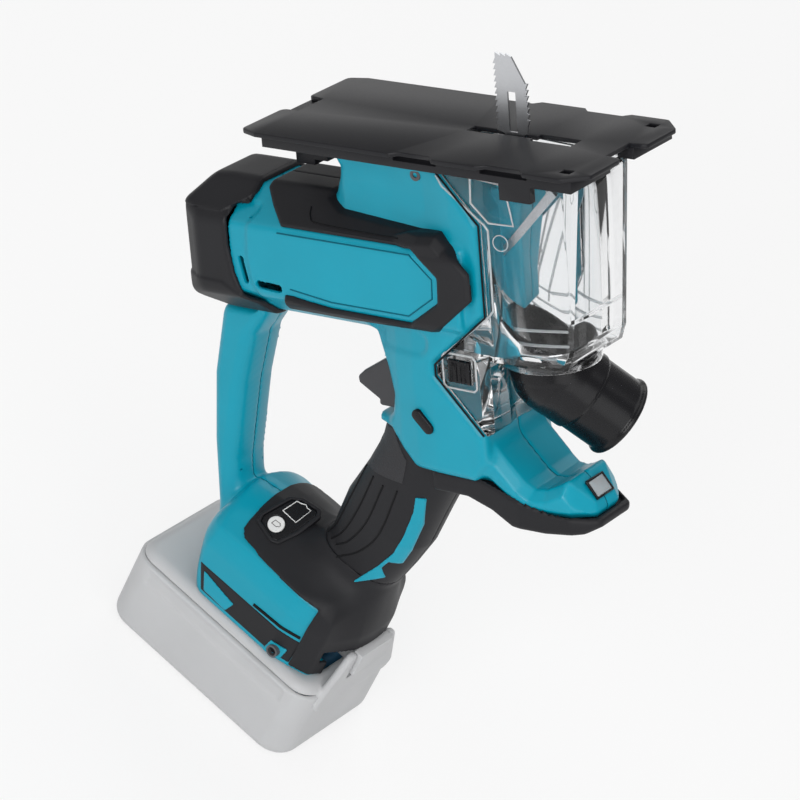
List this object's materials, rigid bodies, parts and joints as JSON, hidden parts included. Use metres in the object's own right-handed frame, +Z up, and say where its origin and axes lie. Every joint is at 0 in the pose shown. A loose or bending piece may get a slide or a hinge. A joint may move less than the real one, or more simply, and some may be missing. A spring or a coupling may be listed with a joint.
{
  "type": "drywall cut-out tool",
  "caption": "Cordless drywall cut-out saw with D-handle, tilted base plate, clear dust box, swivel dust nozzle and slide-on battery.",
  "frame": {"origin": "centre of the battery's flat floor, where the standing tool rests", "axes": "+Z up, +X toward the beak and nozzle, +Y away from the side with the gauge button; the plate leans 32 degrees back from level"},
  "size_m": [0.2303, 0.0814, 0.3566],
  "materials": {
    "teal_shell": "fine matte moulding",
    "black_shell": "textured black moulding",
    "black_rubber": "soft matte overmould",
    "gloss_black": "smooth black moulding",
    "white_plastic": "white button",
    "dark_grey": "dark grey moulding",
    "clear_plastic": "clear moulding",
    "plate_steel": "black coated sheet",
    "bright_steel": "ground steel",
    "cast_alloy": "die-cast alloy",
    "bronze": "sintered bronze",
    "copper_winding": "varnished winding and core",
    "magnet_grey": "sintered magnet",
    "board_green": "circuit board",
    "pale_grey": "pale grey battery case",
    "cell_wrap": "wrapped cells",
    "seal_black": "seal"
  },
  "bodies": {
    "body": {"housing_left": "teal_shell", "housing_right": "teal_shell", "rear_cap": "black_shell", "terminal_block": "black_shell", "switch_body": "black_shell", "barrel_pad_left": "black_rubber", "barrel_pad_right": "black_rubber", "grip_sleeve_left": "black_rubber", "grip_sleeve_right": "black_rubber", "beak_bumper": "black_rubber", "foot_cover": "black_rubber", "gauge_panel": "gloss_black", "lamp_lens": "clear_plastic", "trigger_spring": "bright_steel", "depth_screw": "bright_steel", "front_bearing": "bright_steel", "rear_bearing": "bright_steel", "motor_can": "bright_steel", "stays": "bright_steel", "housing_screws": "bright_steel", "gear_case": "cast_alloy", "hook_insert": "bronze", "upper_bush": "bronze", "lower_bush": "bronze", "magnets": "magnet_grey", "brushes": "magnet_grey", "lamp_board": "board_green", "control_board": "board_green"},
    "plate": {"base_plate": "plate_steel", "plate_frame": "black_shell", "guide_posts": "bright_steel"},
    "saw": {"plunger": "bright_steel", "blade": "bright_steel", "blade_clamp": "bright_steel", "clamp_screw": "bright_steel"},
    "crank": {"crown_gear": "bright_steel", "gear_shaft": "bright_steel"},
    "rotor": {"armature": "copper_winding", "pinion": "bright_steel", "fan": "black_shell"},
    "trigger": {"trigger": "dark_grey"},
    "lock": {"lock_button": "gloss_black"},
    "gauge_check": {"check_button": "white_plastic"},
    "dust_cup": {"dust_box": "clear_plastic"},
    "cup_latch": {"box_latch": "gloss_black"},
    "nozzle": {"elbow_nozzle": "gloss_black", "seal_ring": "seal_black"},
    "battery": {"battery_case": "pale_grey", "battery_cover": "pale_grey", "battery_cells": "cell_wrap", "latch_spring": "bright_steel"},
    "battery_release": {"battery_button": "pale_grey"}
  },
  "joints": [
    {"name": "plate_depth", "type": "slide", "parent": "body", "child": "plate", "axis": [-0.5299, 0, 0.848], "range_m": [0, 0.02]},
    {"name": "saw_stroke", "type": "slide", "parent": "body", "child": "saw", "axis": [-0.5299, 0, 0.848], "range_m": [-0.003, 0.003]},
    {"name": "crank_spin", "type": "hinge", "parent": "body", "child": "crank", "pos_m": [0.01236, 0, 0.25751], "axis": [0, 1, 0], "continuous": true},
    {"name": "rotor_spin", "type": "hinge", "parent": "body", "child": "rotor", "pos_m": [-0.008, 0, 0.24479], "axis": [0.848, 0, 0.5299], "continuous": true},
    {"name": "trigger_pull", "type": "slide", "parent": "body", "child": "trigger", "axis": [0.848, 0, 0.5299], "range_m": [0, 0.005], "stiffness_N_per_m": 900, "springref_m": -0.003, "deforming": ["trigger_spring"]},
    {"name": "lock_push", "type": "slide", "parent": "body", "child": "lock", "axis": [0, 1, 0], "range_m": [-0.0012, 0.0012]},
    {"name": "check_press", "type": "slide", "parent": "body", "child": "gauge_check", "axis": [0, 0.5318, -0.8468], "range_m": [0, 0.0003], "stiffness_N_per_m": 1500, "springref_m": -0.0005},
    {"name": "cup_slide", "type": "slide", "parent": "body", "child": "dust_cup", "axis": [0.848, 0, 0.5299], "range_m": [0, 0.016]},
    {"name": "cup_latch_press", "type": "slide", "parent": "dust_cup", "child": "cup_latch", "axis": [0, 1, 0], "range_m": [0, 0.001], "stiffness_N_per_m": 1500, "springref_m": -0.001},
    {"name": "nozzle_swivel", "type": "hinge", "parent": "dust_cup", "child": "nozzle", "pos_m": [0.06384, 0, 0.25136], "axis": [-0.5299, 0, 0.848], "range_deg": [-105, 15]},
    {"name": "battery_slide", "type": "slide", "parent": "body", "child": "battery", "axis": [1, 0, 0], "range_m": [0, 0.06]},
    {"name": "battery_release_press", "type": "slide", "parent": "battery", "child": "battery_release", "axis": [0, 0, -1], "range_m": [0, 0.003], "stiffness_N_per_m": 1500, "springref_m": -0.001, "deforming": ["latch_spring"]}
  ],
  "couplings": [
    {"joint": "crank_spin", "follows": "rotor_spin", "ratio": 0.28571}
  ]
}
